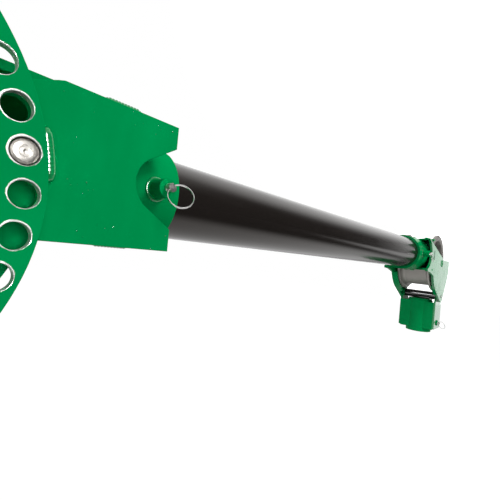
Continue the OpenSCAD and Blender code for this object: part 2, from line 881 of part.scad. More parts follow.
module sheave_bushes() {
  color(bronze) translate([sheave_x, 0, sheave_z]) both_sides() difference() {
    y_cylinder(sheave_bush_out_r, sheave_hub_half - sheave_bush_len, sheave_hub_half);
    y_cylinder(sheave_bush_r, sheave_hub_half - sheave_bush_len - over, sheave_hub_half + over);
  }
}

module thrust_washers() {
  color(bronze) translate([sheave_x, 0, sheave_z]) both_sides() difference() {
    y_cylinder(hub_out_r - edge_r, sheave_hub_half + seat, cheek_in_y);
    y_cylinder(axle_r + fit, sheave_hub_half, cheek_in_y + over);
  }
}

module keeper_roller() {
  color(gloss_black) translate([roller_x, 0, roller_z]) difference() {
    y_cylinder(roller_r, -roller_half, roller_half);
    y_cylinder(roller_shaft_r + fit, -roller_half - over, roller_half + over);
  }
}

// Conduit socket, which swings on the roller's shaft

module conduit_sleeve() {
  color(green) difference() {
    translate([roller_x, 0, conduit_low_z]) cylinder(r = conduit_out_r, h = conduit_len);
    translate([roller_x, 0, conduit_low_z - over]) cylinder(r = conduit_r, h = conduit_len + 2 * over);
    translate([roller_x, 0, socket_plunger_z]) y_cylinder(tip_pin_r + fit, -conduit_out_r - over, 0);
  }
}

stop_ring_t = 8;
stop_ring_step = 3;
stop_lip = 9;
stop_bore_r = conduit_r - stop_lip;

// The ring on top of the sleeve, which stops the conduit
module conduit_stop_ring() {
  color(green) translate([roller_x, 0, conduit_top_z]) difference() {
    cylinder(r = conduit_out_r - stop_ring_step, h = stop_ring_t);
    translate([0, 0, -over]) cylinder(r = stop_bore_r, h = stop_ring_t + 2 * over);
  }
}

// Side plate in X and Z, drawn with the roller's shaft at the origin
ear_r = 24;
plate_back = 62;
plate_front = 48;
wing_top = 31;
wing_low = 163;
ear_root = 6;
plate_cut = [8, 12];
wing_past_plate = 4;
plate_low = wing_low - wing_past_plate;
wing_in_y = 20;

module socket_plate() {
  translate([roller_x, 0, roller_z]) difference() {
    union() {
      y_cylinder(ear_r, socket_in_y, socket_out_y);
      y_plate(socket_in_y, socket_out_y) polygon([
        [-ear_r + 1, ear_root], [ear_r - 1, ear_root], [plate_back, -wing_top - plate_cut[0]],
        [plate_back, -wing_low + plate_cut[1]], [plate_back - plate_cut[0], -plate_low],
        [-plate_front, -plate_low], [-plate_front, -wing_top]
      ]);
    }
    y_cylinder(roller_shaft_r + fit, socket_in_y - over, socket_out_y + over);
    children();
  }
}

module near_socket_plate() {
  color(green) near() socket_plate() translate([0, 0, socket_plunger_z - roller_z])
    y_cylinder(housing_r + fit, socket_in_y - over, socket_out_y + over);
}

module far_socket_plate() { color(green) socket_plate(); }

module socket_wing() {
  difference() {
    box(roller_x - plate_front, roller_x - plate_front + socket_t, wing_in_y, socket_in_y,
      roller_z - wing_low, roller_z - wing_top);
    translate([roller_x, 0, conduit_low_z - over])
      cylinder(r = conduit_out_r + fit, h = conduit_len + conduit_drop);
  }
}

module near_socket_wing() { color(green) near() socket_wing(); }
module far_socket_wing() { color(green) socket_wing(); }

// The tip is drawn as a conduit in the socket pushes it back, level with the bore
socket_tip_y = -conduit_r - seat;

module socket_plunger_housing() {
  color(green) at_socket_plunger() plunger_housing(conduit_out_r, socket_housing)
    translate([0, 0, -2 * housing_r]) cylinder(r = conduit_out_r, h = 4 * housing_r);
}

module socket_plunger() {
  color(steel) at_socket_plunger() rotate([0, eye_turn, 0])
    plunger_pin(conduit_out_r, socket_housing, socket_tip_y);
}

module socket_plunger_spring() {
  color(steel) at_socket_plunger() plunger_spring(conduit_out_r, socket_housing);
}

module socket_pull_ring() {
  color(steel) at_socket_plunger() rotate([0, eye_turn, 0])
    pull_ring(conduit_out_r, socket_housing, socket_lean);
}

mast_socket_tube();
mast_cap();
near_mast_plate();
far_mast_plate();
hub_tube();
pivot_bushes();
arm_top_plate();
arm_front_plate();
arm_bottom_plate();
clamp_nuts();
clamp_bolts();
near_index_disc();
far_index_disc();
near_side_plate();
far_side_plate();
rear_bulkhead();
top_web();
bottom_web();
root_sleeve();
boom_tube();
pivot_shaft();
shaft_collars();
root_plunger_housing();
root_plunger();
root_plunger_spring();
root_pull_ring();
index_pin();
index_pin_handle();
head_collar();
near_cheek();
far_cheek();
head_top_web();
head_bottom_web();
head_cross_web();
near_guard_rims();
far_guard_rims();
sheave_axle();
keeper_shaft();
head_plunger_housing();
head_plunger();
head_plunger_spring();
head_pull_ring();
sheave();
sheave_bushes();
thrust_washers();
keeper_roller();
conduit_sleeve();
conduit_stop_ring();
near_socket_plate();
far_socket_plate();
near_socket_wing();
far_socket_wing();
socket_plunger_housing();
socket_plunger();
socket_plunger_spring();
socket_pull_ring();
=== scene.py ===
"""Looks of the mobile pulling boom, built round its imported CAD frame, in metres with +Z up."""

import json
import logging
import math
import random
from dataclasses import dataclass
from enum import Enum
from typing import Any, Callable, Iterable, Sequence

import bmesh
import bpy
from mathutils import Matrix, Vector

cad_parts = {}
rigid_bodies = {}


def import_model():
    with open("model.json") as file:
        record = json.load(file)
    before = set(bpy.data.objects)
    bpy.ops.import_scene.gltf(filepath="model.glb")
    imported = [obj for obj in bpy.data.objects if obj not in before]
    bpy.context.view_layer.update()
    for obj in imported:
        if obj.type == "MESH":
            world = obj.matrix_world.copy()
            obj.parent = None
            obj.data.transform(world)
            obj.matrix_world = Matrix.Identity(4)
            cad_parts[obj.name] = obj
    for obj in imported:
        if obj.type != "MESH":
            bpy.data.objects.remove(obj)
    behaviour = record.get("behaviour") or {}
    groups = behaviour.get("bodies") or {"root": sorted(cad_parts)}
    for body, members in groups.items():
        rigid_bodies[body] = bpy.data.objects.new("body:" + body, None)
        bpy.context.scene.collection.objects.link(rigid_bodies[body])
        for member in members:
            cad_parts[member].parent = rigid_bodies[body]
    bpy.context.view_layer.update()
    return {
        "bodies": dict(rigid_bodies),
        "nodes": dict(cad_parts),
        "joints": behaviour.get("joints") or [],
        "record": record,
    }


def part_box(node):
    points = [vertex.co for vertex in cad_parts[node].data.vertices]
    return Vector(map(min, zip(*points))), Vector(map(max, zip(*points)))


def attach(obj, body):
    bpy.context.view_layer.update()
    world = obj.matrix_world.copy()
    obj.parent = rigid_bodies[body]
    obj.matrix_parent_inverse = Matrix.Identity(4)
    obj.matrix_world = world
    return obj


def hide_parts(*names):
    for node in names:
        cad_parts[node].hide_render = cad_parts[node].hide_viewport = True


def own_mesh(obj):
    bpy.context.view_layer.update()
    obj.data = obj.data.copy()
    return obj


logging.basicConfig(level=logging.INFO, format="%(message)s")
log = logging.getLogger("boom")

MM = 0.001
# Signs of the near and the far side along Y, and of below and above
SIDES = (-1, 1)
FULL_TURN = 360.0

# Limits for easing a CAD node: points that are one, faces that are one plane, and edges to ease
SAME_SPOT = 2e-6
SAME_PLANE_DEG = 0.4
SHARP_DEG = 38.0

# Sockets of a Mix node that mixes colours
MIX_FIRST = 6
MIX_SECOND = 7
MIX_RESULT = 2

Material = bpy.types.Material
Piece = bpy.types.Object
BMesh = bmesh.types.BMesh
Pair = tuple[float, float]
Colour = tuple[float, float, float]
Point = tuple[float, float, float]
Run = tuple[list[Vector], list[Vector], bool]
Settings = dict[str, Any] | None
Values = dict[str | int, Any] | None


class Body(Enum):
    """Moving bodies of the boom."""

    MAST = "mast"
    BOOM = "boom"
    PIN = "pin"
    HEAD = "head"
    SHEAVE = "sheave_wheel"
    ROLLER = "roller"
    SOCKET = "conduit_socket"


class Slot(Enum):
    """Material slots of the record."""

    GREEN = "green_paint"
    TUBE = "black_tube"
    ROLLER = "black_roller"
    CAST = "cast_grey"
    STEEL = "steel"
    BRONZE = "bronze"


class Axis(Enum):
    """Axes of the frame, by their place in a vector."""

    X = 0
    Y = 1
    Z = 2


class Signal:
    """A socket of a node sheet that joins in arithmetic."""

    def __init__(self, sheet: "NodeSheet", socket: bpy.types.NodeSocket) -> None:
        """Keep the output socket and the sheet it is drawn on."""
        self.sheet = sheet
        self.socket = socket

    def maths(self, operation: str, *others: "Signal | float", clamp: bool = False) -> "Signal":
        """Add a Math node whose first value is this one."""
        return self.sheet.arithmetic(operation, (self, *others), clamp)

    def __add__(self, other: "Signal | float") -> "Signal":
        """Sum of two values."""
        return self.maths("ADD", other)

    __radd__ = __add__

    def __mul__(self, other: "Signal | float") -> "Signal":
        """Product of two values."""
        return self.maths("MULTIPLY", other)

    __rmul__ = __mul__

    def __sub__(self, other: "Signal | float") -> "Signal":
        """Difference of two values."""
        return self.maths("SUBTRACT", other)

    def __rsub__(self, other: float) -> "Signal":
        """Difference of a number and this value."""
        return self.sheet.arithmetic("SUBTRACT", (other, self))

    def __truediv__(self, other: "Signal | float") -> "Signal":
        """Quotient of two values."""
        return self.maths("DIVIDE", other)

    def between(self, low: float, high: float) -> "Signal":
        """Smooth step from 0 at low to 1 at high."""
        unit = ((self - low) / (high - low)).maths("MULTIPLY", 1.0, clamp=True)
        return unit * unit * (3.0 - 2.0 * unit)

    def root(self) -> "Signal":
        """Square root of the value."""
        return self.maths("SQRT")


class NodeSheet:
    """A node tree that values are drawn on."""

    def __init__(self, tree: bpy.types.NodeTree) -> None:
        """Keep the node tree of a material or of the world."""
        self.tree = tree

    def plug(self, socket: bpy.types.NodeSocket, value: Any) -> None:
        """Set a socket, or link a signal to it.

        Args:
            socket: The socket.
            value: A number, a tuple or a signal.
        """
        if isinstance(value, Signal):
            self.tree.links.new(value.socket, socket)
        else:
            socket.default_value = value

    def node(self, kind: str, values: Values = None, settings: Settings = None) -> bpy.types.Node:
        """Add any node.

        Args:
            kind: The node's type.
            values: Values or signals of its sockets, by name or number.
            settings: Its settings, set before its sockets.

        Returns:
            The node.
        """
        made = self.tree.nodes.new(kind)
        for key, value in (settings or {}).items():
            setattr(made, key, value)
        for key, value in (values or {}).items():
            self.plug(made.inputs[key], value)
        return made

    def draw(self, kind: str, output: str | int, values: Values = None,
             settings: Settings = None) -> Signal:
        """Add a node and take its output of a name or number."""
        return Signal(self, self.node(kind, values, settings).outputs[output])

    def arithmetic(self, operation: str, terms: Sequence[Signal | float], clamp: bool = False) -> Signal:
        """Add a Math node, whose result may be held between 0 and 1."""
        settings = {"operation": operation, "use_clamp": clamp}
        return self.draw("ShaderNodeMath", 0, dict(enumerate(terms)), settings)

    def vector(self, operation: str, first: Any, second: Any, output: str | int = 0) -> Signal:
        """Add a Vector Math node of two values."""
        return self.draw("ShaderNodeVectorMath", output, {0: first, 1: second}, {"operation": operation})


class ShaderSheet(NodeSheet):
    """The node sheet of one material, with its Principled shader."""

    def __init__(self, name: str) -> None:
        """Start a material.

        Args:
            name: The material's name.
        """
        self.material = bpy.data.materials.new(name)
        self.material.use_nodes = True
        super().__init__(self.material.node_tree)
        self.shader = self.tree.nodes["Principled BSDF"]
        self.place = self.draw("ShaderNodeTexCoord", "Object")

    def blend(self, share: Signal | float, first: Any, second: Any) -> Signal:
        """Mix two colours.

        Args:
            share: How much of the second shows.
            first: A colour or a signal.
            second: A colour or a signal.

        Returns:
            The mixed colour.
        """
        first, second = ((*c, 1.0) if isinstance(c, tuple) else c for c in (first, second))
        values = {0: share, MIX_FIRST: first, MIX_SECOND: second}
        return self.draw("ShaderNodeMix", MIX_RESULT, values, {"data_type": "RGBA"})

    def noise(self, scale: float, detail: float = 2.0, stretch: Point | None = None) -> Signal:
        """Noise over the part's own coordinates.

        Args:
            scale: Cells in a metre.
            detail: Layers of finer noise.
            stretch: Scale along each axis, to draw the noise out.

        Returns:
            The noise's value.
        """
        place = self.place
        if stretch:
            place = self.vector("MULTIPLY", place, stretch)
        return self.draw("ShaderNodeTexNoise", 0, {"Vector": place, "Scale": scale, "Detail": detail})

    def offsets(self, centre: Point) -> dict[Axis, Signal]:
        """Signed distances in metres from a point along X, Y and Z."""
        split = self.node("ShaderNodeSeparateXYZ", {0: self.vector("SUBTRACT", self.place, centre)})
        return {axis: Signal(self, split.outputs[axis.value]) for axis in Axis}

    def radius(self, centre: Point, axis: Axis) -> Signal:
        """Distance in metres from a line along X, Y or Z through a point."""
        flat = [value for along, value in self.offsets(centre).items() if along is not axis]
        return (flat[0] * flat[0] + flat[1] * flat[1]).root()

    def relief(self, height: Signal, depth: float) -> None:
        """Raise the surface by a height of 0 to 1, with the depth of 1 in metres."""
        values = {"Height": height, "Distance": depth, "Strength": 1.0}
        self.plug(self.shader.inputs["Normal"], self.draw("ShaderNodeBump", 0, values))

    def dress(self, **values: Any) -> Material:
        """Set the shader's sockets.

        Args:
            values: Numbers, tuples or signals, by the sockets' names with underscores for spaces.

        Returns:
            The material.
        """
        for key, value in values.items():
            self.plug(self.shader.inputs[key.replace("_", " ")], value)
        return self.material


@dataclass(frozen=True)
class Enamel:
    """Sprayed enamel over steel, with clouds in its colour, a faint orange peel and grit."""

    name: str = "green_enamel"
    fresh: Colour = (0.0, 0.252, 0.069)
    deep: Colour = (0.0, 0.220, 0.058)
    gloss: float = 0.22
    shine: float = 0.0
    clear: float = 0.0
    clear_rough: float = 0.04
    peel_cells: float = 260.0
    peel_depth: float = 0.00003
    slot: Slot = Slot.GREEN

    def coat(self, sheet: ShaderSheet) -> tuple[Signal, Signal]:
        """Lay the paint's clouds, peel and grit on a sheet.

        Args:
            sheet: The sheet.

        Returns:
            The paint's colour and roughness.
        """
        cloud = sheet.noise(7.0, 3.0)
        streak = sheet.noise(34.0, 4.0, (1.0, 1.0, 0.35))
        shade = (0.65 * cloud + 0.35 * streak).between(0.36, 0.64)
        peel = sheet.noise(self.peel_cells, 1.0)
        grit = sheet.noise(1900.0, 0.0).between(0.66, 0.80)
        sheet.relief(peel + 0.5 * grit, self.peel_depth)
        rough = self.gloss + 0.10 * streak.between(0.45, 0.75) + 0.15 * grit
        return sheet.blend(shade, self.deep, self.fresh), rough

    def dress(self, sheet: ShaderSheet, colour: Signal, rough: Signal, **more: Any) -> Material:
        """Set the paint's sockets and any others."""
        return sheet.dress(Base_Color=colour, Roughness=rough, Specular_IOR_Level=self.shine,
                           Coat_Weight=self.clear, Coat_Roughness=self.clear_rough, **more)

    def make(self) -> Material:
        """Build the material."""
        sheet = ShaderSheet(self.name)
        return self.dress(sheet, *self.coat(sheet))


@dataclass(frozen=True)
class IndexedEnamel(Enamel):
    """Enamel of the index discs, rubbed to bare steel round the holes where the pin goes in and out."""

    name: str = "green_enamel_indexed"
    bare: Colour = (0.70, 0.70, 0.68)
    pivot: Point = (0.0, 0.0, 0.330)
    circle: float = 0.2325
    pitch_deg: float = 10.0
    first_deg: float = 9.0
    hole: float = 0.0135
    rub: float = 0.0014
    # Keeps the count of cells positive and puts each hole in the middle of its cell
    cells_ahead: float = 100.5

    def make(self) -> Material:
        """Build the material.

        Returns:
            The material.
        """
        sheet = ShaderSheet(self.name)
        colour, rough = self.coat(sheet)
        flat = sheet.offsets(self.pivot)
        x, z = flat[Axis.X], flat[Axis.Z]
        radius = (x * x + z * z).root()
        pitch = math.radians(self.pitch_deg)
        angle = z.maths("ARCTAN2", x) - math.radians(self.first_deg)
        turn = angle / pitch + self.cells_ahead
        across = (turn.maths("FRACT") - 0.5) * pitch * radius
        out = radius - self.circle
        reach = (across * across + out * out).root() - self.hole
        side = (0.8 * across - 0.6 * out) / self.hole
        ragged = sheet.noise(150.0, 3.0)
        width = self.rub * (side.between(-0.9, 0.9) * 0.8 + 1.6 * ragged - 0.35)
        worn = (width - reach).between(-0.0003, 0.0004)
        painted = sheet.blend(worn, colour, self.bare)
        return self.dress(sheet, painted, rough + 0.06 * worn, Metallic=0.85 * worn)


@dataclass(frozen=True)
class PowderCoat:
    """Satin black powder coat on the drawn tube, faintly rubbed along its length."""

    name: str = "black_powder_coat"
    black: Colour = (0.011, 0.009, 0.008)
    rubbed: Colour = (0.030, 0.026, 0.024)
    warm: Colour = (1.0, 0.93, 0.88)
    slot: Slot = Slot.TUBE

    def make(self) -> Material:
        """Build the material.

        Returns:
            The material.
        """
        sheet = ShaderSheet(self.name)
        rub = sheet.noise(60.0, 4.0, (0.06, 1.0, 1.0)).between(0.56, 0.78)
        cloud = sheet.noise(11.0, 2.0)
        grain = sheet.noise(900.0, 1.0)
        sheet.relief(grain, 0.00002)
        rough = 0.12 + 0.05 * cloud - 0.03 * rub + 0.04 * grain
        return sheet.dress(Base_Color=sheet.blend(0.5 * rub, self.black, self.rubbed), Roughness=rough,
                           Specular_IOR_Level=0.5, Specular_Tint=(*self.warm, 1.0))


@dataclass(frozen=True)
class GlossBlack:
    """Hard glossy black of the keeper roller, with fine marks round it from the rope."""

    name: str = "roller_black"
    black: Colour = (0.008, 0.008, 0.009)
    worn: Colour = (0.05, 0.05, 0.052)
    slot: Slot = Slot.ROLLER

    def make(self) -> Material:
        """Build the material.

        Returns:
            The material.
        """
        sheet = ShaderSheet(self.name)
        rings = sheet.noise(420.0, 3.0, (0.02, 1.0, 0.02))
        mark = rings.between(0.52, 0.66)
        sheet.relief(rings, 0.00004)
        colour = sheet.blend(0.6 * mark, self.black, self.worn)
        return sheet.dress(Base_Color=colour, Roughness=0.10 + 0.16 * mark, Specular_IOR_Level=0.6,
                           Coat_Weight=0.5, Coat_Roughness=0.05)


@dataclass(frozen=True)
class Casting:
    """Sand-cast wheel: grainy skin, with the groove and the hub's faces turned smooth."""

    centre: Point
    groove: float
    name: str = "cast_wheel"
    skin: Colour = (0.30, 0.28, 0.262)
    sooty: Colour = (0.20, 0.183, 0.168)
    turned: Colour = (0.38, 0.36, 0.335)
    rings: float = 7000.0
    slot: Slot = Slot.CAST

    def make(self) -> Material:
        """Build the material.

        Returns:
            The material.
        """
        sheet = ShaderSheet(self.name)
        radius = sheet.radius(self.centre, Axis.Y)
        grain = sheet.noise(520.0, 3.0)
        pits = sheet.noise(1400.0, 1.0)
        cloud = sheet.noise(16.0, 3.0)
        smooth = radius.between(self.groove - 0.003, self.groove + 0.001)
        rings = (radius * self.rings).maths("SINE") * 0.5 + 0.5
        rough_height = (0.7 * grain + 0.3 * pits) * (1.0 - 0.75 * smooth)
        sheet.relief(rough_height + 0.10 * rings * smooth, 0.0005)
        cast = sheet.blend(cloud.between(0.35, 0.65), self.sooty, self.skin)
        colour = sheet.blend(0.75 * smooth, cast, self.turned)
        rough = 0.62 - 0.20 * smooth + 0.14 * grain
        return sheet.dress(Base_Color=colour, Roughness=rough, Metallic=0.35 * smooth + 0.15)


@dataclass(frozen=True)
class TurnedSteel:
    """Bright turned steel with lathe rings round a line, or drawn along it."""

    name: str
    centre: Point = (0.0, 0.0, 0.0)
    axis: Axis = Axis.Y
    rings: float = 5200.0
    bright: Colour = (0.66, 0.65, 0.63)
    dull: Colour = (0.42, 0.40, 0.37)
    sheen: float = 0.22
    slot: Slot = Slot.STEEL

    def make(self) -> Material:
        """Build the material.

        Returns:
            The material.
        """
        sheet = ShaderSheet(self.name)
        radius = sheet.radius(self.centre, self.axis)
        ring = (radius * self.rings).maths("SINE") * 0.5 + 0.5
        cloud = sheet.noise(70.0, 4.0)
        stain = cloud.between(0.50, 0.72)
        sheet.relief(ring + 0.4 * sheet.noise(900.0, 2.0), 0.00005)
        rough = self.sheen + 0.16 * stain + 0.08 * ring
        colour = sheet.blend(0.7 * stain, self.bright, self.dull)
        return sheet.dress(Base_Color=colour, Roughness=rough, Metallic=1.0)


@dataclass(frozen=True)
class OiledBronze:
    """Bronze of the bushes and thrust washers, darkened by oil."""

    name: str = "oiled_bronze"
    bright: Colour = (0.62, 0.42, 0.20)
    oiled: Colour = (0.26, 0.16, 0.07)
    slot: Slot = Slot.BRONZE

    def make(self) -> Material:
        """Build the material.

        Returns:
            The material.
        """
        sheet = ShaderSheet(self.name)
        oil = sheet.noise(90.0, 4.0).between(0.42, 0.66)
        sheet.relief(sheet.noise(700.0, 2.0), 0.00006)
        colour = sheet.blend(oil, self.bright, self.oiled)
        return sheet.dress(Base_Color=colour, Roughness=0.26 + 0.22 * oil, Metallic=1.0)


@dataclass(frozen=True)
class Layout:
    """The real sizes that the pieces share, in millimetres, as in the part's source."""

    boom_z: float = 367.0
    pivot_z: float = 330.0
    disc_r: float = 252.0
    side_y: float = 100.0
    disc_y: float = 110.0
    side_in_y: float = 90.0
    side_half_h: float = 84.0
    pin_x: float = 229.638
    pin_z: float = 366.371
    pin_r: float = 12.0
    sleeve_r: float = 73.0
    root_sleeve_x: float = 284.0
    root_plunger_x: float = 396.0
    head_plunger_x: float = 1712.0
    sheave_x: float = 1965.0
    sheave_z: float = 336.0
    roller_x: float = 2005.0
    roller_z: float = 177.0
    conduit_out_r: float = 56.0
    socket_plunger_z: float = 47.0
    ring_r: float = 17.5
    mast_r: float = 76.2


def as_piece(name: str, mesh: BMesh, smooth_deg: float = 35.0) -> Piece:
    """Turn a bmesh into an object with soft shading.

    Args:
        name: The piece's name.
        mesh: The bmesh, which is freed.
        smooth_deg: Edges sharper than this stay crisp.

    Returns:
        The object.
    """
    bmesh.ops.recalc_face_normals(mesh, faces=mesh.faces)
    data = bpy.data.meshes.new(name)
    mesh.to_mesh(data)
    mesh.free()
    made = bpy.data.objects.new(name, data)
    bpy.context.scene.collection.objects.link(made)
    data.shade_smooth()
    data.set_sharp_from_angle(angle=math.radians(smooth_deg))
    return made


def lathe(name: str, profile: Sequence[Pair], centre: Point, axis: Point, steps: int) -> Piece:
    """Turn a profile round a line.

    Args:
        name: The piece's name.
        profile: Distances along the line and radii, in millimetres; a radius of 0 closes an end.
        centre: Where the line's zero is.
        axis: The line's direction.
        steps: Facets round it.

    Returns:
        The object.
    """
    turn = Vector((0, 0, 1)).rotation_difference(Vector(axis).normalized()).to_matrix()
    mesh = bmesh.new()
    rings: list[list[bmesh.types.BMVert]] = []
    for along, radius in ((a * MM, b * MM) for a, b in profile):
        spots = 1 if radius <= 0 else steps
        ring = []
        for i in range(spots):
            angle = 2 * math.pi * i / steps
            local = Vector((radius * math.cos(angle), radius * math.sin(angle), along))
            ring.append(mesh.verts.new(Vector(centre) + turn @ local))
        rings.append(ring)
    for low, high in zip(rings, rings[1:]):
        for i in range(steps):
            j = (i + 1) % steps
            corners = [ring[k % len(ring)] for ring, k in ((low, i), (low, j), (high, j), (high, i))]
            mesh.faces.new(list(dict.fromkeys(corners)))
    return as_piece(name, mesh)


def sweep(mesh: BMesh, path: Sequence[Vector], crowns: Sequence[Vector],
          size: Callable[[int, float], Pair], closed: bool, sides: int) -> None:
    """Sweep a round section along a path into a bmesh.

    Args:
        mesh: The bmesh that takes the faces.
        path: Points along the middle of the sweep.
        crowns: The outward direction at each point.
        size: Radius and lag along the path, from the point's number and the angle off the crown.
        closed: Whether the path closes on itself.
        sides: Facets round the section.
    """
    count = len(path)
    rings = []
    for i, (spot, crown) in enumerate(zip(path, crowns)):
        ahead = path[(i + 1) % count] if closed or i + 1 < count else spot
        behind = path[i - 1] if closed or i > 0 else spot
        along = (ahead - behind).normalized()
        out = (crown - along * crown.dot(along)).normalized()
        side = along.cross(out)
        ring = []
        for k in range(sides):
            angle = 2 * math.pi * k / sides
            radius, lag = size(i, angle)
            offset = radius * (out * math.cos(angle) + side * math.sin(angle)) - lag * along
            ring.append(mesh.verts.new(spot + offset))
        rings.append(ring)
    pairs = list(zip(rings, rings[1:])) + ([(rings[-1], rings[0])] if closed else [])
    for low, high in pairs:
        for k in range(sides):
            n = (k + 1) % sides
            mesh.faces.new((low[k], low[n], high[n], high[k]))
    if not closed:
        mesh.faces.new(rings[0])
        mesh.faces.new(list(reversed(rings[-1])))


def softened(name: str, node: Piece, edge: float, segments: int) -> Piece:
    """Copy a CAD node's form and ease its sharp edges.

    Args:
        name: The new piece's name.
        node: The CAD node, which stays as it is.
        edge: Width of the eased edge in metres.
        segments: Facets across the eased edge.

    Returns:
        The object.
    """
    mesh = bmesh.new()
    mesh.from_mesh(node.data)
    bmesh.ops.remove_doubles(mesh, verts=mesh.verts, dist=SAME_SPOT)
    flat = math.radians(SAME_PLANE_DEG)
    bmesh.ops.dissolve_limit(mesh, angle_limit=flat, verts=mesh.verts, edges=mesh.edges)
    made = as_piece(name, mesh)
    bevel = made.modifiers.new("eased_edges", "BEVEL")
    bevel.width = edge
    bevel.segments = segments
    bevel.limit_method = "ANGLE"
    bevel.angle_limit = math.radians(SHARP_DEG)
    bevel.use_clamp_overlap = True
    weighted = made.modifiers.new("flat_faces", "WEIGHTED_NORMAL")
    weighted.weight = 100
    weighted.keep_sharp = True
    bpy.context.view_layer.update()
    graph = bpy.context.evaluated_depsgraph_get()
    eased = bpy.data.meshes.new_from_object(made.evaluated_get(graph))
    made.modifiers.clear()
    made.data = eased
    return made


@dataclass(frozen=True)
class WeldBead:
    """A weld bead with the overlapping ripples that its puddle leaves."""

    radius: float = 3.4 * MM
    ripple: float = 2.6 * MM
    depth: float = 0.13
    lag: float = 1.6 * MM
    step: float = 0.65 * MM
    sides: int = 12

    def lay(self, name: str, runs: Iterable[Run]) -> Piece:
        """Lay beads along several runs as one piece.

        Args:
            name: The piece's name.
            runs: For each bead its rough path, its outward directions and whether it is closed.

        Returns:
            The object.
        """
        mesh = bmesh.new()
        for run in runs:
            spots, outs, closed = self.spaced(*run)
            count = len(spots)

            def size(i: int, angle: float) -> Pair:
                """Shape the ripples.

                Args:
                    i: The point's number.
                    angle: The angle off the crown.

                Returns:
                    The radius, and how far the bead trails there.
                """
                phase = (i * self.step / self.ripple) % 1.0
                swell = 1.0 - self.depth * (1.0 - math.sqrt(max(0.0, 1.0 - (2 * phase - 1) ** 2)))
                from_end = min(i, count - 1 - i) * self.step / self.radius
                end = 1.0 if closed else min(1.0, 0.35 + 0.65 * math.sqrt(from_end / 1.2))
                return self.radius * swell * end, self.lag * (1.0 - math.cos(angle)) * 0.5

            sweep(mesh, spots, outs, size, closed, self.sides)
        return as_piece(name, mesh, 80.0)

    def spaced(self, path: list[Vector], crowns: list[Vector], closed: bool) -> Run:
        """Space a run evenly.

        Args:
            path: The rough path.
            crowns: Outward directions.
            closed: Whether it is closed.

        Returns:
            The run with even points.
        """
        spots = path + path[:closed]
        outs = crowns + crowns[:closed]
        lengths = [0.0]
        for a, b in zip(spots, spots[1:]):
            lengths.append(lengths[-1] + (b - a).length)
        ripples = max(2, round(lengths[-1] / self.ripple))
        count = max(8, round(ripples * self.ripple / self.step))
        even, directions, k = [], [], 0
        for i in range(count if closed else count + 1):
            target = lengths[-1] * i / count
            while k < len(lengths) - 2 and lengths[k + 1] < target:
                k += 1
            share = (target - lengths[k]) / max(1e-9, lengths[k + 1] - lengths[k])
            even.append(spots[k].lerp(spots[k + 1], share))
            directions.append(outs[k].lerp(outs[k + 1], share).normalized())
        return even, directions, closed


@dataclass(frozen=True)
class Spatter:
    """Small beads of weld metal that stuck to a plate's outer face and were painted over."""

    seed: int
    count: int = 9
    small: float = 0.4
    large: float = 1.2

    def throw(self, name: str, patches: Sequence[tuple[float, float, float, float, float]]) -> Piece:
        """Scatter the beads as one piece.

        Args:
            name: The piece's name.
            patches: For each patch its X and Z limits and the face's Y, in millimetres.

        Returns:
            The object.
        """
        dice = random.Random(self.seed)
        mesh = bmesh.new()
        for x0, x1, z0, z1, y in patches:
            for _ in range(self.count):
                radius = self.small + (self.large - self.small) * dice.random() ** 3
                spot = Vector((dice.uniform(x0, x1), y, dice.uniform(z0, z1))) * MM
                flat = Matrix.Diagonal((1.0, dice.uniform(0.5, 0.8), 1.0, 1.0))
                shape = Matrix.Translation(spot) @ flat
                bmesh.ops.create_icosphere(mesh, subdivisions=2, radius=radius * MM, matrix=shape)
        return as_piece(name, mesh, 80.0)


GREEN = Enamel()
BEAD = Enamel("green_enamel_on_welds", gloss=0.12, shine=0.5, clear=1.0, clear_rough=0.09)
FACE = Enamel("green_enamel_on_faces", gloss=0.16, shine=0.5, clear=0.25)
SOCKET_FACE = Enamel("green_enamel_on_socket_face", gloss=0.14, shine=0.5, clear=1.0, clear_rough=0.12,
                     peel_depth=0.00001)
HEAD_GREEN = Enamel("green_enamel_at_head", shine=0.03)
# Near-black green for the head's cross web: painted shade that stands for the deep shadow inside the box
# between the head's webs
PAINTED_SHADE = Enamel("thin_enamel_inside", fresh=(0.003, 0.030, 0.015), deep=(0.006, 0.012, 0.009), gloss=0.6)
BRONZE = OiledBronze()


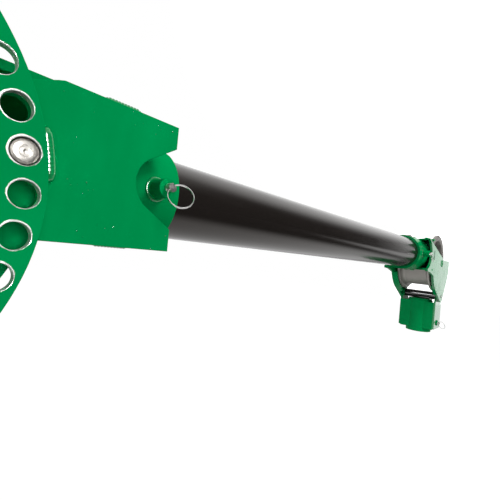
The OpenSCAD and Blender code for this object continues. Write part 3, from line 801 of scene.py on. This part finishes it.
@dataclass
class SubAssembly:
    """What the boom's sub-assemblies share: the CAD frame and the sizes, which are in millimetres."""

    frame: dict[str, Any]
    size: Layout

    def fit(self, piece: Piece, body: Body | str, finish: Any, *stands_for: str) -> None:
        """Dress a piece and let it ride on its body.

        Args:
            piece: The piece, in place.
            body: The body or its name.
            finish: Its finish.
            stands_for: The CAD nodes that it replaces.
        """
        held_by = body.value if isinstance(body, Body) else body
        piece.data.materials.clear()
        piece.data.materials.append(bpy.data.materials.get(finish.name) or finish.make())
        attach(piece, held_by)
        if stands_for:
            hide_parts(*stands_for)
        log.info("%s rides on %s", piece.name, held_by)

    def ease(self, body: Body | str, finish: Any, edges: dict[str, float], segments: int = 2) -> None:
        """Replace CAD nodes by copies with eased edges.

        Args:
            body: The body that holds the nodes, or its name.
            finish: Their finish.
            edges: Width of each node's eased edge in millimetres.
            segments: Facets across an eased edge.
        """
        for node, edge in edges.items():
            solid = self.frame["nodes"][node]
            self.fit(softened(node + "_eased", solid, edge * MM, segments), body, finish, node)

    def weld(self, name: str, body: Body, runs: list[Run], bead: WeldBead = WeldBead()) -> None:
        """Lay painted weld beads along runs as one piece of a body."""
        self.fit(bead.lay(name, runs), body, BEAD)

    def line(self, start: Point, end: Point, crown: Point) -> Run:
        """A straight run for a bead, with its outward direction."""
        out = Vector(crown).normalized()
        return [Vector(start) * MM, Vector(end) * MM], [out, out], False

    def seams(self, x: Pair, y: float, heights: Pair, crown: Pair) -> list[Run]:
        """Four straight runs along X, mirrored from the upper one on the +Y side.

        Args:
            x: Where they start and end.
            y: Their distance from the middle plane.
            heights: The lower and the upper runs' height.
            crown: The outward direction's share along Y and Z at the upper run.

        Returns:
            The runs.
        """
        (start, end), (out, up) = x, crown
        return [self.line((start, side * y, z), (end, side * y, z), (0, side * out, tilt * up))
                for side in SIDES for tilt, z in zip(SIDES, heights)]

    def circle(self, axis: Axis, centre: Point, radius: float, lean: float,
               arc: Pair = (0.0, FULL_TURN), steps: int = 40,
               bend: Callable[[float, float], float] | None = None) -> Run:
        """A run on a circle for a bead.

        Args:
            axis: The circle's axis.
            centre: Its middle.
            radius: Its radius.
            lean: How far the outward direction leans along the axis.
            arc: First and last angle in degrees; a whole turn closes the run.
            steps: Points along it.
            bend: Gives a point's place along the axis from its offsets across it.

        Returns:
            The run.
        """
        first, last = arc
        closed = last - first >= FULL_TURN
        across = [k.value for k in Axis if k is not axis]
        spots, outs = [], []
        for i in range(steps if closed else steps + 1):
            angle = math.radians(first + (last - first) * i / steps)
            spot, out = list(centre), [lean] * 3
            for k, share in zip(across, (math.cos(angle), math.sin(angle))):
                spot[k] += radius * share
                out[k] = share
            if bend:
                spot[axis.value] = bend(radius * math.cos(angle), radius * math.sin(angle))
            spots.append(Vector(spot) * MM)
            outs.append(Vector(out).normalized())
        return spots, outs, closed

    def circles(self, centre: Point, radius: float, lean: float = 1.0, **more: Any) -> list[Run]:
        """A run round Y on the +Y side, and its mirrored one."""
        x, y, z = centre
        return [self.circle(Axis.Y, (x, side * y, z), radius, side * lean, **more) for side in SIDES]


@dataclass
class MastHead(SubAssembly):
    """The mast's head, which the boom turns on: socket, plates, hub and stop arm."""

    boss_bead_r: float = 49.0
    boss_bead_y: float = 89.0
    leg_bead_y: float = 77.0
    leg_bead_z: Pair = (26.0, 176.0)
    cap_bead_z: float = 181.5
    bolt_heights: Pair = (45.0, 135.0)
    bolt_r: float = 8.0
    thread_pitch: float = 2.0
    thread_depth: float = 1.0
    head_across: float = 24.0
    head_height: float = 10.0
    head_overlap: float = 1.0

    def build(self) -> None:
        """Build the mast head's pieces."""
        s = self.size
        self.ease(Body.MAST, GREEN, {
            "mast_socket_tube": 1.2, "mast_cap": 1.5, "near_mast_plate": 1.0, "far_mast_plate": 1.0,
            "hub_tube": 1.0, "arm_top_plate": 0.8, "arm_front_plate": 0.8, "arm_bottom_plate": 0.8,
            "clamp_nuts": 0.8})
        self.ease(Body.MAST, BRONZE, {"pivot_bushes": 0.5})
        self.clamp_bolts()
        runs = self.circles((0.0, self.boss_bead_y, s.pivot_z), self.boss_bead_r)
        bottom, top = self.leg_bead_z
        for side in SIDES:
            y = side * self.leg_bead_y
            for end in SIDES:
                x = end * s.mast_r * 0.5
                runs.append(self.line((x, y, bottom), (x, y, top), (end, side, 0)))
        runs.append(self.circle(Axis.Z, (0.0, 0.0, self.cap_bead_z), s.mast_r, 0.2, steps=60))
        self.weld("mast_weld_beads", Body.MAST, runs)

    def clamp_bolts(self) -> None:
        """Turn the clamp bolts, with rolled threads and chamfered heads."""
        steel = TurnedSteel("bolt_steel", (0.0, 0.0, self.bolt_heights[0] * MM), Axis.X)
        low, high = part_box("clamp_bolts")
        under_head = low.x + (self.head_height - self.head_overlap) * MM
        mesh = bmesh.new()
        for z in self.bolt_heights:
            self.threaded_shank(mesh, Vector((under_head, 0, z * MM)), high.x - under_head)
            self.hex_head(mesh, Vector((low.x, 0, z * MM)))
        self.fit(as_piece("clamp_bolts_threaded", mesh), Body.MAST, steel, "clamp_bolts")

    def threaded_shank(self, mesh: BMesh, start: Vector, length: float) -> None:
        """Add a threaded shank along +X.

        Args:
            mesh: The bmesh that takes it.
            start: Its start.
            length: Its length in metres.
        """
        pitch, depth = self.thread_pitch * MM, self.thread_depth * MM
        count = int(length / pitch * 8)
        spots = [start + Vector((length * i / count, 0, 0)) for i in range(count + 1)]
        tapers = [min(1.0, (count - i) / 6) for i in range(count + 1)]

        def size(i: int, angle: float) -> Pair:
            """Radius of the helical thread, which fades at the bolt's end."""
            phase = (length * i / count / pitch - angle / (2 * math.pi)) % 1.0
            return self.bolt_r * MM - depth * (1 - tapers[i] * (1 - abs(2 * phase - 1))), 0.0

        sweep(mesh, spots, [Vector((0, 0, 1))] * len(spots), size, False, 24)

    def hex_head(self, mesh: BMesh, start: Vector) -> None:
        """Add a chamfered hexagon head along +X.

        Args:
            mesh: The bmesh that takes it.
            start: The middle of its outer face.
        """
        half = self.head_across * MM / 2
        spots = [start + Vector((self.head_height * MM * t, 0, 0)) for t in (0.0, 0.04, 0.16, 1.0)]
        caps = (half * 0.90, half * 0.97, 2 * half, 2 * half)

        def size(i: int, angle: float) -> Pair:
            """Radius of the hexagon, cut by the chamfer's cone."""
            turn = (angle + math.pi / 6) % (math.pi / 3) - math.pi / 6
            return min(half / math.cos(turn), caps[i]), 0.0

        sweep(mesh, spots, [Vector((0, 0, 1))] * len(spots), size, False, 36)


@dataclass
class RootBracket(SubAssembly):
    """The index discs, side plates, webs and sleeve at the boom's root."""

    disc_seam: Pair = (3.2, 15.2)
    disc_bead_out: float = 3.0
    web_edge_x: Pair = (306.0, 353.0)
    web_edge_rise: Pair = (3.5, 0.5)
    web_seam_x: Pair = (300.0, 380.0)
    web_seam_inset: float = 10.0
    sleeve_seam_x: Pair = (300.0, 388.0)
    sleeve_seam_y: float = 14.0
    sleeve_seam_sink: float = 0.6
    collar_bead_r: float = 44.0
    disc_bead: WeldBead = WeldBead(6.5 * MM, 4.2 * MM, 0.06, 2.6 * MM, 0.8 * MM, 16)
    # X and Z limits of the spatter, with Z from the top edge, the bottom edge and zero
    spatter: tuple[tuple[float, float, float, float], ...] = (
        (258.0, 400.0, -22.0, -2.0), (262.0, 400.0, 2.0, 24.0), (258.0, 300.0, 330.0, 400.0))
    edge_bead: WeldBead = WeldBead(5.0 * MM, 4.0 * MM, 0.2, 2.0 * MM, 0.8 * MM, 14)

    def build(self) -> None:
        """Build the bracket's pieces."""
        self.ease(Body.BOOM, IndexedEnamel(), {"near_index_disc": 1.0, "far_index_disc": 1.0})
        self.ease(Body.BOOM, GREEN, {
            "near_side_plate": 0.9, "far_side_plate": 0.9, "rear_bulkhead": 0.8, "top_web": 0.8,
            "bottom_web": 0.8, "root_sleeve": 1.3, "shaft_collars": 1.5, "root_plunger_housing": 0.9})
        shaft = TurnedSteel("shaft_steel", (0.0, 0.0, self.size.pivot_z * MM))
        self.ease(Body.BOOM, shaft, {"pivot_shaft": 2.0})
        self.beads()

    def beads(self) -> None:
        """Lay the bracket's weld beads and spatter."""
        s = self.size
        top = s.boom_z + s.side_half_h
        low = s.boom_z - s.side_half_h
        rims = self.circles((0.0, s.side_y + 1.0, s.pivot_z), s.disc_r + self.disc_bead_out, 1.2,
                            arc=self.disc_seam, steps=24)
        self.weld("disc_weld_beads", Body.BOOM, rims, self.disc_bead)
        heights = (low + self.web_edge_rise[0], top + self.web_edge_rise[1])
        edges = self.seams(self.web_edge_x, s.side_in_y + 1, heights, (0.2, 1.0))
        self.weld("web_edge_beads", Body.BOOM, edges, self.edge_bead)
        patches = [(x0, x1, base + z0, base + z1, -s.side_y) for base, (x0, x1, z0, z1) in
                   zip((top, low, 0.0), self.spatter)]
        self.fit(Spatter(11).throw("root_spatter", patches), Body.BOOM, BEAD)
        heights = (low + self.web_seam_inset, top - self.web_seam_inset)
        runs = self.seams(self.web_seam_x, s.side_in_y, heights, (-1.0, -1.0))
        runs.append(self.circle(Axis.X, (s.root_sleeve_x, 0.0, s.boom_z), s.sleeve_r, 1, steps=60))
        reach = s.sleeve_r - self.sleeve_seam_sink
        heights = (s.boom_z - reach, s.boom_z + reach)
        runs += self.seams(self.sleeve_seam_x, self.sleeve_seam_y, heights, (1.0, -0.3))
        runs += self.circles((0.0, s.disc_y, s.pivot_z), self.collar_bead_r)
        self.weld("root_weld_beads", Body.BOOM, runs)


@dataclass
class BoomTube(SubAssembly):
    """The long tube."""

    def build(self) -> None:
        """Build the tube's piece."""
        self.ease(Body.BOOM, PowderCoat(), {"boom_tube": 1.0})


@dataclass
class IndexPin(SubAssembly):
    """The steel index pin with its cross handle."""

    centre_drill: tuple[Pair, ...] = ((2.2, 0.0), (0.0, 1.9))
    face_groove: tuple[Pair, ...] = ((0.0, 4.6), (0.35, 4.9), (0.35, 5.5), (0.0, 5.8))
    handle_end: tuple[Pair, ...] = ((0.0, 0.0), (0.0, 4.2), (0.7, 5.8), (2.4, 7.0))
    handle_r: float = 7.0
    handle_grip: float = 16.0
    chamfer: float = 2.0
    # Distances from the face and inside the pin's radius
    face_rim: tuple[Pair, ...] = ((0.0, 2.4), (0.25, 2.0), (2.0, 0.0))
    first_ring: float = 60.0
    other_rings: tuple[float, ...] = (0.4, 0.6, 0.8)
    bright: Colour = (0.34, 0.325, 0.30)
    dull: Colour = (0.20, 0.185, 0.165)

    def build(self) -> None:
        """Turn the pin and its handle."""
        s = self.size
        low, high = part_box("index_pin")
        r = s.pin_r
        length = (high.y - low.y) / MM
        shank = [(self.first_ring, r), *((length * share, r) for share in self.other_rings)]
        face = [*self.centre_drill, *self.face_groove, *((a, r - b) for a, b in self.face_rim)]
        end = [(length - self.chamfer, r), (length, r - self.chamfer), (length, 0.0)]
        centre = (s.pin_x * MM, low.y, s.pin_z * MM)
        steel = TurnedSteel("pin_steel", centre, Axis.Y, 6200.0, self.bright, self.dull, 0.34)
        pin = lathe("index_pin_turned", face + shank + end, centre, (0, 1, 0), 64)
        self.fit(pin, Body.PIN, steel, "index_pin")
        start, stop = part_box("index_pin_handle")
        middle = (start + stop) / 2
        span = (stop.x - start.x) / MM
        grip = [(span / 2 + side * self.handle_grip, self.handle_r) for side in (-1, 0, 1)]
        bar = [*self.handle_end, *grip, *((span - a, b) for a, b in reversed(self.handle_end))]
        centre = (start.x, middle.y, middle.z)
        handle = lathe("index_pin_handle_turned", bar, centre, (1, 0, 0), 40)
        steel = TurnedSteel("handle_steel", tuple(middle), Axis.X)
        self.fit(handle, Body.PIN, steel, "index_pin_handle")


@dataclass
class SpringPlunger(SubAssembly):
    """A pull plunger: housing, coil spring, turned pin with its eye, and pull ring."""

    name: str
    holder: Body
    x: float
    z: float
    sleeve_r: float
    travel: float
    ring_turn_deg: float
    ring_lean_deg: float
    upright: bool
    coil_turns: float = 7.0
    coil_r: float = 7.2
    coil_wire_r: float = 0.8
    wire_turns: float = 1.93
    wire_start: float = 0.9
    ring_wire_r: float = 0.72
    ring_shift: float = 0.68
    bead_reach: float = 14.6
    bead_lean: float = 9.0

    def build(self) -> None:
        """Build the plunger's pieces."""
        self.pin()
        self.coil()
        self.ring()
        centre = (self.x, 0.0, self.z)
        lean = -self.bead_lean / self.bead_reach
        seam = self.circle(Axis.Y, centre, self.bead_reach, lean, steps=48, bend=self.saddle)
        self.weld(self.name + "_plunger_weld", self.holder, [seam], WeldBead(radius=2.8 * MM))
        if self.holder is not Body.BOOM:
            self.ease(self.holder, GREEN, {self.name + "_plunger_housing": 0.9})

    def pin(self) -> None:
        """Ease the turned pin's edges."""
        axis = (self.x * MM, 0.0, self.z * MM)
        steel = TurnedSteel(self.name + "_plunger_steel", axis, bright=(0.72, 0.71, 0.69))
        self.ease(self.name + "_plunger_pin", steel, {self.name + "_plunger": 0.6}, 3)

    def coil(self) -> None:
        """Wind the spring that drives the pin home."""
        node = self.name + "_plunger_spring"
        low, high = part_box(node)
        wire, turns, radius = self.coil_wire_r * MM, self.coil_turns, self.coil_r * MM
        steps = int(turns * 28)
        spots, outs = [], []
        for i in range(steps + 1):
            share = i / steps
            angle = 2 * math.pi * turns * share
            out = Vector((math.cos(angle), 0, math.sin(angle)))
            y = low.y + wire + (high.y - low.y - 2 * wire) * share
            spots.append(Vector((self.x * MM, y, self.z * MM)) + out * radius)
            outs.append(out)
        mesh = bmesh.new()
        sweep(mesh, spots, outs, lambda i, angle: (wire, 0.0), False, 8)
        coil = as_piece(node + "_coil", mesh)
        steel = TurnedSteel("spring_steel", rings=900.0, bright=(0.5, 0.49, 0.47))
        self.fit(coil, self.holder, steel, node)
        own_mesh(coil)

    def ring(self) -> None:
        """Wind the split pull ring from two turns of wire."""
        node = self.name + "_pull_ring"
        low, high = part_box(node)
        middle = (low + high) / 2
        lean = math.radians(self.ring_lean_deg)
        turned = Matrix.Rotation(math.radians(self.ring_turn_deg), 3, "Y")
        down = turned @ Vector((0, -math.sin(lean), -math.cos(lean)))
        flat = turned @ Vector((1, 0, 0))
        normal = flat.cross(down)
        radius = self.size.ring_r * MM
        steps = 150
        spots = []
        for i in range(steps + 1):
            share = i / steps
            angle = 2 * math.pi * self.wire_turns * share + self.wire_start
            shift = (self.ring_shift * MM) * math.tanh(9 * (share - 0.5)) / math.tanh(4.5)
            reach = radius * (math.cos(angle) * flat + math.sin(angle) * down)
            spots.append(middle + reach + normal * shift)
        outs = [(spot - middle).normalized() for spot in spots]
        mesh = bmesh.new()
        sweep(mesh, spots, outs, lambda i, angle: (self.ring_wire_r * MM, 0.0), False, 10)
        ring = as_piece(node + "_split", mesh)
        steel = TurnedSteel("ring_wire", axis=Axis.X, rings=900.0, bright=(0.80, 0.79, 0.77),
                            dull=(0.6, 0.59, 0.57), sheen=0.14)
        self.fit(ring, self.name + "_ring", steel, node)

    def saddle(self, u: float, v: float) -> float:
        """Y of the round sleeve at offsets along X and Z from the plunger."""
        return -math.sqrt(self.sleeve_r ** 2 - (v if self.upright else u) ** 2)


@dataclass
class SheaveHead(SubAssembly):
    """The head weldment: collar, cheeks, webs, guard rims and shafts."""

    web_seam_x: Pair = (1760.0, 1808.0)
    web_seam_y: float = 13.0
    cheek_seam_x: Pair = (1752.0, 1812.0)
    cheek_seam_y: float = 82.0
    cheek_seam_rise: float = 62.0
    axle_bead_r: float = 16.2
    axle_bead_y: float = 92.0

    def build(self) -> None:
        """Build the head's pieces."""
        s = self.size
        self.ease(Body.HEAD, FACE, {"near_cheek": 0.8})
        self.ease(Body.HEAD, HEAD_GREEN, {
            "head_collar": 1.3, "far_cheek": 0.8, "head_top_web": 0.7, "head_bottom_web": 0.7,
            "near_guard_rims": 0.7, "far_guard_rims": 0.7, "sheave_axle": 1.5})
        # Painted shade: the cross web is near-black to stand for the shadow inside the box between the
        # webs
        self.ease(Body.HEAD, PAINTED_SHADE, {"head_cross_web": 0.7})
        self.ease(Body.HEAD, BRONZE, {"thrust_washers": 0.4})
        shaft = TurnedSteel("keeper_shaft_steel", (s.roller_x * MM, 0, s.roller_z * MM))
        self.ease(Body.HEAD, shaft, {"keeper_shaft": 1.2})
        self.beads()

    def beads(self) -> None:
        """Lay the head's weld beads."""
        s = self.size
        heights = (s.boom_z - s.sleeve_r, s.boom_z + s.sleeve_r)
        runs = self.seams(self.web_seam_x, self.web_seam_y, heights, (1.0, -0.3))
        heights = (s.boom_z - self.cheek_seam_rise, s.boom_z + self.cheek_seam_rise)
        runs += self.seams(self.cheek_seam_x, self.cheek_seam_y, heights, (-1.0, -1.0))
        self.weld("head_weld_beads", Body.HEAD, runs, WeldBead(radius=2.6 * MM))
        ends = self.circles((s.sheave_x, self.axle_bead_y, s.sheave_z), self.axle_bead_r)
        self.weld("axle_weld_beads", Body.HEAD, ends, WeldBead(radius=1.5 * MM))


@dataclass
class Sheave(SubAssembly):
    """The cast sheave and its bushes."""

    groove_r: float = 110.0

    def build(self) -> None:
        """Build the sheave's pieces."""
        centre = (self.size.sheave_x * MM, 0.0, self.size.sheave_z * MM)
        self.ease(Body.SHEAVE, Casting(centre, self.groove_r * MM), {"sheave": 1.2})
        self.ease(Body.SHEAVE, BRONZE, {"sheave_bushes": 0.5})


@dataclass
class KeeperRoller(SubAssembly):
    """The keeper roller under the sheave."""

    def build(self) -> None:
        """Build the roller's piece."""
        self.ease(Body.ROLLER, GlossBlack(), {"keeper_roller": 1.8})


@dataclass
class ConduitSocket(SubAssembly):
    """The swinging socket for the conduit."""

    seam_back: float = 40.0
    plate_seam_y: float = 72.5
    seam_heights: tuple[Pair, ...] = ((20.0, 52.0), (80.0, 126.0))

    def build(self) -> None:
        """Build the socket's pieces."""
        s = self.size
        self.ease(Body.SOCKET, HEAD_GREEN, {
            "conduit_sleeve": 1.2, "conduit_stop_ring": 0.8, "far_socket_plate": 0.8,
            "near_socket_wing": 0.7, "far_socket_wing": 0.7})
        self.ease(Body.SOCKET, SOCKET_FACE, {"near_socket_plate": 0.8})
        runs = []
        x = s.roller_x - self.seam_back
        for side in SIDES:
            y = side * math.sqrt(s.conduit_out_r ** 2 - self.seam_back ** 2)
            for z0, z1 in self.seam_heights:
                runs.append(self.line((x, y, z0), (x, y, z1), (1, side, 0)))
                outer = side * self.plate_seam_y
                runs.append(self.line((x, outer, z0), (x, outer, z1), (1, -side, 0)))
        self.weld("socket_weld_beads", Body.SOCKET, runs, WeldBead(radius=2.4 * MM))


@dataclass(frozen=True)
class Lamp:
    """A soft square lamp: its place, what it points at, its side in metres, its power and its cone."""

    name: str
    place: Point
    aim: Point
    size: float
    watts: float
    mirrored: bool = False
    lit: bool = True
    spread_deg: float = 180.0

    def hang(self) -> None:
        """Hang the lamp; a mirrored one shows in glossy surfaces and a lit one lights matt ones."""
        data = bpy.data.lights.new(self.name, "AREA")
        data.size = self.size
        data.energy = self.watts
        data.spread = math.radians(self.spread_deg)
        lamp = bpy.data.objects.new(self.name, data)
        lamp.location = self.place
        lamp.visible_glossy = self.mirrored
        lamp.visible_diffuse = self.lit
        lamp.rotation_euler = (Vector(self.aim) - Vector(self.place)).to_track_quat("-Z", "Y").to_euler()
        bpy.context.scene.collection.objects.link(lamp)


@dataclass(frozen=True)
class Glow:
    """A pale patch that only reflections show, by the cosine of the angle from its aim."""

    aim: Point
    start: float
    full: float
    dark: float
    bright: float


@dataclass
class Studio:
    """Pale floor, white backdrop, soft lamps and the photograph's camera, in metres."""

    eye: Point = (0.137, -0.48654, 0.28718)
    right: Point = (0.661, -0.7447, 0.0922)
    up: Point = (-0.0747, 0.057, 0.9956)
    ahead: Point = (0.7467, 0.665, 0.0179)
    focal_px: float = 340.0
    picture_px: float = 500.0
    sensor_mm: float = 36.0
    floor_z: float = -0.75
    floor_half: float = 12.0
    glows: tuple[Glow, ...] = (
        Glow((0.0, 0.0, 1.0), 0.45, 0.95, 0.02, 0.8),
        Glow((0.75, 0.30, 0.60), 0.70, 0.96, 0.0, 1.4),
        Glow((0.9993, 0.035, 0.01), 0.928, 0.972, 0.0, 1.65),
        Glow((-0.45, -0.88, 0.12), 0.72, 0.97, 0.0, 0.9),
        Glow((0.30, 0.95, 0.10), 0.35, 0.90, 0.0, 0.9),
        Glow((-0.92, 0.25, 0.27), 0.988, 0.997, 0.0, 14.0),
    )
    lamps: tuple[Lamp, ...] = (
        Lamp("key_lamp", (1.2, -2.0, 2.7), (0.6, 0.0, 0.35), 1.0, 66.0),
        Lamp("front_lamp", (0.8, -3.2, 1.0), (0.8, 0.0, 0.3), 1.8, 31.0),
        Lamp("glint_lamp", (-0.75, -3.0, 1.05), (0.3, 0.0, 0.35), 1.0, 24.0, True, False, 40.0),
    )

    def camera(self) -> None:
        """Place the camera at the photograph's viewing angle."""
        data = bpy.data.cameras.new("photo_camera")
        data.sensor_width = self.sensor_mm
        data.lens = self.focal_px / self.picture_px * self.sensor_mm
        data.clip_start = 0.01
        camera = bpy.data.objects.new("photo_camera", data)
        rows = Matrix([Vector(row).normalized() for row in (self.right, self.up)]
                      + [-Vector(self.ahead).normalized()])
        camera.matrix_world = Matrix.Translation(Vector(self.eye)) @ rows.transposed().to_4x4()
        bpy.context.scene.collection.objects.link(camera)
        bpy.context.scene.camera = camera

    def floor(self) -> None:
        """Lay the floor, pale for the camera and in two patches of its reflection, else dark."""
        mesh = bmesh.new()
        bmesh.ops.create_grid(mesh, x_segments=1, y_segments=1, size=self.floor_half)
        floor = as_piece("studio_floor", mesh)
        floor.location = (1.0, 0.0, self.floor_z)
        sheet = ShaderSheet("studio_white")
        tint = sheet.noise(0.6, 1.0)
        path = sheet.node("ShaderNodeLightPath")
        seen = Signal(sheet, path.outputs["Is Camera Ray"])
        mirrored = Signal(sheet, path.outputs["Is Glossy Ray"])
        away = sheet.offsets((0.0, 0.0, 0.0))
        ahead, aside = away[Axis.X], away[Axis.Y]
        close = aside.between(-1.5, -0.4) * (1.0 - ahead.between(2.6, 5.0))
        beyond = aside.between(-3.6, -2.4) * ahead.between(4.5, 6.0)
        patches = (close + beyond).maths("MINIMUM", 1.0)
        glow = sheet.draw("ShaderNodeEmission", 0, {"Color": (1, 1, 1, 1), "Strength": 1.08})
        pale = sheet.blend(tint, (0.90, 0.90, 0.90), (0.93, 0.93, 0.93))
        unseen = sheet.blend(mirrored, (0.48, 0.48, 0.48), (0.012, 0.010, 0.009))
        sheet.dress(Base_Color=sheet.blend(seen, unseen, pale), Roughness=0.9)
        own = Signal(sheet, sheet.shader.outputs[0])
        share = seen * 0.86 + mirrored * patches * 0.95
        mix = sheet.draw("ShaderNodeMixShader", 0, {0: share, 1: own, 2: glow})
        sheet.plug(sheet.tree.nodes["Material Output"].inputs["Surface"], mix)
        floor.data.materials.append(sheet.material)

    def surroundings(self) -> None:
        """White surroundings for the camera, and dark ones with pale patches for everything else."""
        world = bpy.data.worlds.new("studio_world")
        world.use_nodes = True
        bpy.context.scene.world = world
        sheet = NodeSheet(world.node_tree)
        back = sheet.tree.nodes["Background"]
        sheet.plug(back.inputs["Color"], (1, 1, 1, 1))
        level = sheet.draw("ShaderNodeLightPath", "Is Camera Ray")
        view = sheet.draw("ShaderNodeTexCoord", "Generated")
        for glow in self.glows:
            facing = sheet.vector("DOT_PRODUCT", view, Vector(glow.aim).normalized(), "Value")
            values = {"Value": facing, "From Min": glow.start, "From Max": glow.full,
                      "To Min": glow.dark, "To Max": glow.bright}
            settings = {"interpolation_type": "SMOOTHSTEP"}
            level = level.maths("MAXIMUM", sheet.draw("ShaderNodeMapRange", "Result", values, settings))
        sheet.plug(back.inputs["Strength"], level)

    def build(self) -> None:
        """Set up the studio."""
        self.camera()
        self.floor()
        self.surroundings()
        for lamp in self.lamps:
            lamp.hang()
        bpy.context.scene.view_settings.view_transform = "Standard"


def main() -> None:
    """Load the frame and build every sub-assembly round it."""
    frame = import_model()
    s = Layout()
    plungers = [SpringPlunger(frame, s, *own) for own in (
        ("root", Body.BOOM, s.root_plunger_x, s.boom_z, s.sleeve_r, 8, -45, 35, True),
        ("head", Body.HEAD, s.head_plunger_x, s.boom_z, s.sleeve_r, 6, 0, 20, True),
        ("socket", Body.SOCKET, s.roller_x, s.socket_plunger_z, s.conduit_out_r, 6, -45, 45, False),
    )]
    back = [kind(frame, s) for kind in (MastHead, RootBracket, BoomTube, IndexPin)]
    front = [kind(frame, s) for kind in (SheaveHead, Sheave, KeeperRoller, ConduitSocket)]
    for part in (*back, *plungers, *front, Studio()):
        part.build()


if __name__ == "__main__":
    main()
